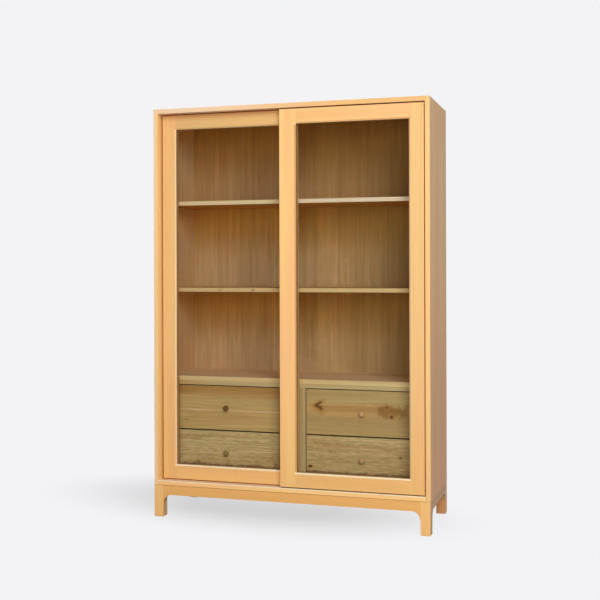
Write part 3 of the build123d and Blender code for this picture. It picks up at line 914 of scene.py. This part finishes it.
# look, tone and marks of each drawer front, in metres along the grain and up, and its knob's look
# and tone
drawerFronts = {
    "drawer_upper_left": {
        "look": "drawer",
        "tone": 0.93,
        "knob": "knobDark",
        "knobTone": 0.8,
        "knots": (roundKnot(-0.50, 0.421, 0.003, 0.4, 0.2, 2.0),),
        "patches": (
            {"mark": "crown", "z": (0.545, far), "soft": 0.02, "wave": 0.03, "waves": 5.0, "share": 0.8},
            {
                "mark": "paleLeft", "z": (0.464, 0.470), "soft": 0.004,
                "wave": 0.008, "waves": 6.0, "share": 0.34,
            },
            *endShades,
        ),
    },
    "drawer_upper_right": {
        "look": "drawer",
        "tone": 0.78,
        "knob": "knob",
        "knobTone": 1.0,
        "knots": (
            {"along": 0.102, "across": 0.507, "size": 0.009, "dark": 0.75, "halo": 0.6, "spike": 0.022},
            roundKnot(0.392, 0.500, 0.010, 0.12, 0.35, 1.9),
            roundKnot(0.414, 0.507, 0.006, 0.60, 0.40, 1.8),
            roundKnot(0.420, 0.486, 0.009, 0.12, 0.35, 1.9),
            roundKnot(0.435, 0.467, 0.008, 0.85, 0.50, 1.3),
        ),
        "patches": (
            {"mark": "olive", "share": 0.35},
            {"mark": "warm", "z": (0.462, 0.515), "soft": 0.014, "wave": 0.05, "waves": 7.0, "share": 0.45},
            heartStreak((0.09, 0.47), 0.502, 0.002, 0.6),
            heartStreak((0.11, 0.50), 0.492, 0.010, 0.3),
            {
                "mark": "grimeAndShadow", "x": (0.380, 0.50), "z": (0.468, 0.508), "soft": 0.018,
                "wave": 0.08, "waves": 38.0, "share": 0.85,
            },
        ),
    },
    "drawer_lower_left": {
        "look": "drawerCoarse",
        "tone": 0.95,
        "knob": "knobOlive",
        "knobTone": 0.95,
        "knots": (
            roundKnot(-0.442, 0.236, 0.006, 0.6),
            roundKnot(-0.30, 0.242, 0.005, 0.3),
            roundKnot(-0.078, 0.238, 0.006, 0.5),
        ),
        "patches": (
            heartStreak((-0.535, -0.43), 0.338, 0.002, 0.45),
            heartStreak((-0.36, -0.20), 0.318, 0.002, 0.22),
            *footStainAndShade(0.228, 0.7),
            *endShades,
        ),
    },
    "drawer_lower_right": {
        "look": "drawerCoarse",
        "tone": 0.92,
        "knob": "knob",
        "knobTone": 0.8,
        "knots": (
            roundKnot(0.078, 0.242, 0.008, 0.95),
            roundKnot(0.473, 0.297, 0.006, 0.7),
            roundKnot(0.166, 0.307, 0.004, 0.5, 0.1, 2.5),
        ),
        "patches": (
            heartStreak((0.13, 0.46), 0.333, 0.004, 0.4),
            heartStreak((0.11, 0.24), 0.276, 0.002, 0.3),
            *footStainAndShade(0.222, 0.65),
        ),
    },
}
borderShade = {"edge": 0.0020, "share": 0.95}  # painted shade along a front's border, where the gaps round it lie dark
# metres from the knob's middle that its painted shadow reaches, mostly down and to the left
knobShadow = {"left": 0.014, "right": 0.006, "under": 0.020, "over": 0.002, "soft": 0.007, "share": 0.55}
# part: (grain, across, sawn)
drawerParts = {
    "side_left": ("y", "z", "rift"),
    "side_right": ("y", "z", "rift"),
    "back": ("x", "z", "rift"),
    "bottom": ("x", "y", "flat"),
}
# turned knob in metres: radii from its middle line, and reach out from the drawer front. The handles
# bend the hollow and the crown.
knobShape = {
    "turns": 56,
    "spigotRadius": 0.004,
    "spigotLength": 0.016,
    "footRadius": 0.0075,
    "shoulderReach": 0.010,
    "neckHandle": (0.00416, 0.0040),
    "shoulderHandle": 0.0055,
    "crownHandle": 0.6,
    "curveSteps": 12,
    "creaseAngle": 40,
    "weld": 0.00001,
}


# the knob's outline, as (radius, reach) from the spigot's end to the middle of the crown
def knobOutline(radius, reach):
    spigot, depth = knobShape["spigotRadius"], -knobShape["spigotLength"]
    shoulder = knobShape["shoulderReach"]
    steps = knobShape["curveSteps"]
    foot = (knobShape["footRadius"], 0)
    widest = (radius, shoulder)
    hollow = interpolate_bezier(
        foot, knobShape["neckHandle"], (radius, knobShape["shoulderHandle"]), widest, steps
    )
    pull = knobShape["crownHandle"]
    roundOff = (radius, shoulder + (reach - shoulder) * pull)
    crown = interpolate_bezier(widest, roundOff, (radius * pull, reach), (0, reach), steps)
    return [(0, depth), (spigot, depth), (spigot, 0), *map(tuple, hollow), *map(tuple, crown[1:])]


def makeKnob(drawer, material):
    node = f"{drawer}_knob"
    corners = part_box(node)
    front = edgeOf(f"{drawer}_front", "y", 0)
    middle = Vector((middleOf(corners, "x"), front, middleOf(corners, "z")))
    shape = bmesh.new()
    points = []
    for radius, reach in knobOutline((corners[1][0] - corners[0][0]) / 2, front - corners[0][1]):
        points.append(shape.verts.new(middle + Vector((radius, -reach, 0))))
    lines = [shape.edges.new(pair) for pair in zip(points, points[1:])]
    bmesh.ops.spin(
        shape, geom=points + lines, cent=middle, axis=(0, 1, 0), angle=2 * math.pi,
        steps=knobShape["turns"], use_merge=True,
    )
    bmesh.ops.remove_doubles(shape, verts=shape.verts, dist=knobShape["weld"])
    bmesh.ops.recalc_face_normals(shape, faces=shape.faces)
    for face in shape.faces:
        face.smooth = True
    mesh = bpy.data.meshes.new(f"{drawer}_turned_knob")
    shape.to_mesh(mesh)
    shape.free()
    mesh.set_sharp_from_angle(angle=math.radians(knobShape["creaseAngle"]))
    mesh.materials.append(material)
    knob = bpy.data.objects.new(f"{drawer}_turned_knob", mesh)
    bpy.context.collection.objects.link(knob)
    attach(knob, drawer)
    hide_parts(node)


# what every front has: a painted shadow under and left of the knob, and painted shade along its border
def frontShadePatches(drawer):
    low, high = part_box(f"{drawer}_front")
    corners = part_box(f"{drawer}_knob")
    x, z = middleOf(corners, "x"), middleOf(corners, "z")
    # the knob's painted shadow, under it and to the left
    grimeAndShadow = {
        "mark": "grimeAndShadow", "x": (x - knobShadow["left"], x + knobShadow["right"]),
        "z": (z - knobShadow["under"], z + knobShadow["over"]),
        "soft": knobShadow["soft"], "share": knobShadow["share"],
    }
    return grimeAndShadow, {"mark": "drawerGapShade", "x": (low[0], high[0]), "z": (low[2], high[2]), **borderShade}


for drawerNumber, (drawer, finish) in enumerate(drawerFronts.items()):
    front = f"{drawer}_front"
    seed = seeds["drawer"] + drawerNumber * seeds["step"]
    patches = (*finish["patches"], *frontShadePatches(drawer))
    wood = woodMaterial(
        front, finish["look"], "x", "z", "level", 1, seed, finish["tone"], finish["knots"], patches
    )
    dress(front, wood)
    for partSeed, (part, (grain, across, sawn)) in enumerate(drawerParts.items(), seed + 1):
        node = f"{drawer}_{part}"
        dress(node, woodMaterial(node, "inner", grain, across, sawn, 1, partSeed))
    knobSeed = seed + seeds["knob"]
    wood = woodMaterial(f"{drawer}_knob", finish["knob"], "y", "x", "rift", 1, knobSeed, finish["knobTone"])
    makeKnob(drawer, wood)
print("drawers dressed")

studio = {
    "background": (243, 243, 245),
    "floorRadius": 40.0,
    "floorSegments": 96,
    "floorColour": (0.45, 0.45, 0.46, 1.0),
    "floorGlow": 0.69,  # least share of the background's own colour in the floor
    "shadowMiddle": (-0.30, 0.14),
    "shadowReach": (1.22, 0.60),
    "shadowLean": 0.13,  # how far forward the shadow comes for each metre to the right
    "shadowCore": 0.28,
    "skyColour": (1.0, 1.0, 1.0, 1.0),
    "skyStrength": 0.20,
}
# soft square lamps in front, and a wide one high behind
softboxes = {
    "key_light": {
        "aim": (0.0, -0.2, 1.0), "azimuth": 33.0, "elevation": 22.0, "distance": 5.2,
        "size": 2.2, "power": 150,
    },
    "fill_light": {
        "aim": (0.0, -0.2, 1.1), "azimuth": 10.0, "elevation": 3.0, "distance": 5.0,
        "size": 1.6, "power": 62,
    },
}
backLamp = {"place": (0.0, 2.0, 4.0), "towards": (0.05, -0.75, -0.70), "strength": 1.4, "softness": 50}
view = {
    "place": (1.3095, -4.3455, 1.1033),
    "turn": 16.829,
    "tilt": -0.049,
    "roll": -0.169,
    "lens": 61.08,
    "sensor": 36.0,
    "shiftY": -0.0543,
}
background = screenColour(studio["background"])


def seenDirectly(tree):
    rays = addNode(tree, "LightPath")
    seen = calc(tree, "MAXIMUM", rays.outputs["Is Camera Ray"], rays.outputs["Is Glossy Ray"])
    return calc(tree, "MAXIMUM", seen, rays.outputs["Is Transmission Ray"])


def makeFloor():
    shape = bmesh.new()
    bmesh.ops.create_circle(
        shape, cap_ends=True, segments=studio["floorSegments"], radius=studio["floorRadius"]
    )
    mesh = bpy.data.meshes.new("studio_floor")
    shape.to_mesh(mesh)
    shape.free()
    floor = bpy.data.objects.new("studio_floor", mesh)
    bpy.context.collection.objects.link(floor)
    material = newMaterial("floor_paper")
    tree = material.node_tree
    axes = splitAxes(tree, objectPlace(tree))
    offsets = [calc(tree, "SUBTRACT", axes[i], studio["shadowMiddle"][i]) for i in (0, 1)]
    offsets[1] = calc(tree, "MULTIPLY_ADD", offsets[0], studio["shadowLean"], offsets[1])
    shares = [calc(tree, "DIVIDE", offsets[i], studio["shadowReach"][i]) for i in (0, 1)]
    near = fadeOut(tree, lengthOf(tree, joinAxes(tree, *shares)), studio["shadowCore"], 1.0)
    glowShare = calc(tree, "SUBTRACT", 1.0, calc(tree, "MULTIPLY", near, 1.0 - studio["floorGlow"]))
    paper = addNode(tree, "BsdfDiffuse", {"Color": studio["floorColour"]})
    glow = addNode(tree, "Emission", {"Color": background, "Strength": 1.0})
    amount = calc(tree, "MULTIPLY", glowShare, seenDirectly(tree))
    mixed = addNode(tree, "MixShader", {0: amount, 1: paper.outputs[0], 2: glow.outputs[0]})
    addNode(tree, "OutputMaterial", {"Surface": mixed.outputs[0]})
    mesh.materials.append(material)


def makeSky():
    world = bpy.data.worlds.new("studio_sky")
    world.use_nodes = True
    tree = world.node_tree
    tree.nodes.clear()
    light = addNode(tree, "Background", {"Color": studio["skyColour"], "Strength": studio["skyStrength"]})
    shown = addNode(tree, "Background", {"Color": background, "Strength": 1.0})
    mixed = addNode(tree, "MixShader", {0: seenDirectly(tree), 1: light.outputs[0], 2: shown.outputs[0]})
    addNode(tree, "OutputWorld", {"Surface": mixed.outputs[0]})
    bpy.context.scene.world = world


def addLamp(name, data, place, towards):
    made = bpy.data.objects.new(name, data)
    made.location = place
    made.rotation_euler = towards.to_track_quat("-Z", "Y").to_euler()
    made.visible_camera = False
    bpy.context.collection.objects.link(made)


def makeLamps():
    for name, lamp in softboxes.items():
        soft = bpy.data.lights.new(name, "AREA")
        soft.energy = lamp["power"]
        soft.size = lamp["size"]
        azimuth, elevation = math.radians(lamp["azimuth"]), math.radians(lamp["elevation"])
        outward = Vector((
            math.sin(azimuth) * math.cos(elevation),
            -math.cos(azimuth) * math.cos(elevation),
            math.sin(elevation),
        ))
        addLamp(name, soft, Vector(lamp["aim"]) + outward * lamp["distance"], -outward)
    wide = bpy.data.lights.new("back_lamp", "SUN")
    wide.energy = backLamp["strength"]
    wide.angle = math.radians(backLamp["softness"])
    addLamp("back_lamp", wide, Vector(backLamp["place"]), Vector(backLamp["towards"]))


def makeCamera():
    data = bpy.data.cameras.new("camera")
    data.lens = view["lens"]
    data.sensor_width = view["sensor"]
    data.shift_y = view["shiftY"]
    made = bpy.data.objects.new("camera", data)
    turn = Matrix.Rotation(math.radians(view["turn"]), 4, "Z")
    tilt = Matrix.Rotation(math.radians(90 + view["tilt"]), 4, "X")
    roll = Matrix.Rotation(math.radians(view["roll"]), 4, "Z")
    made.matrix_world = Matrix.Translation(view["place"]) @ turn @ tilt @ roll
    bpy.context.collection.objects.link(made)
    bpy.context.scene.camera = made


makeFloor()
makeSky()
makeLamps()
makeCamera()
bpy.context.scene.view_settings.view_transform = "Standard"
print("studio made")
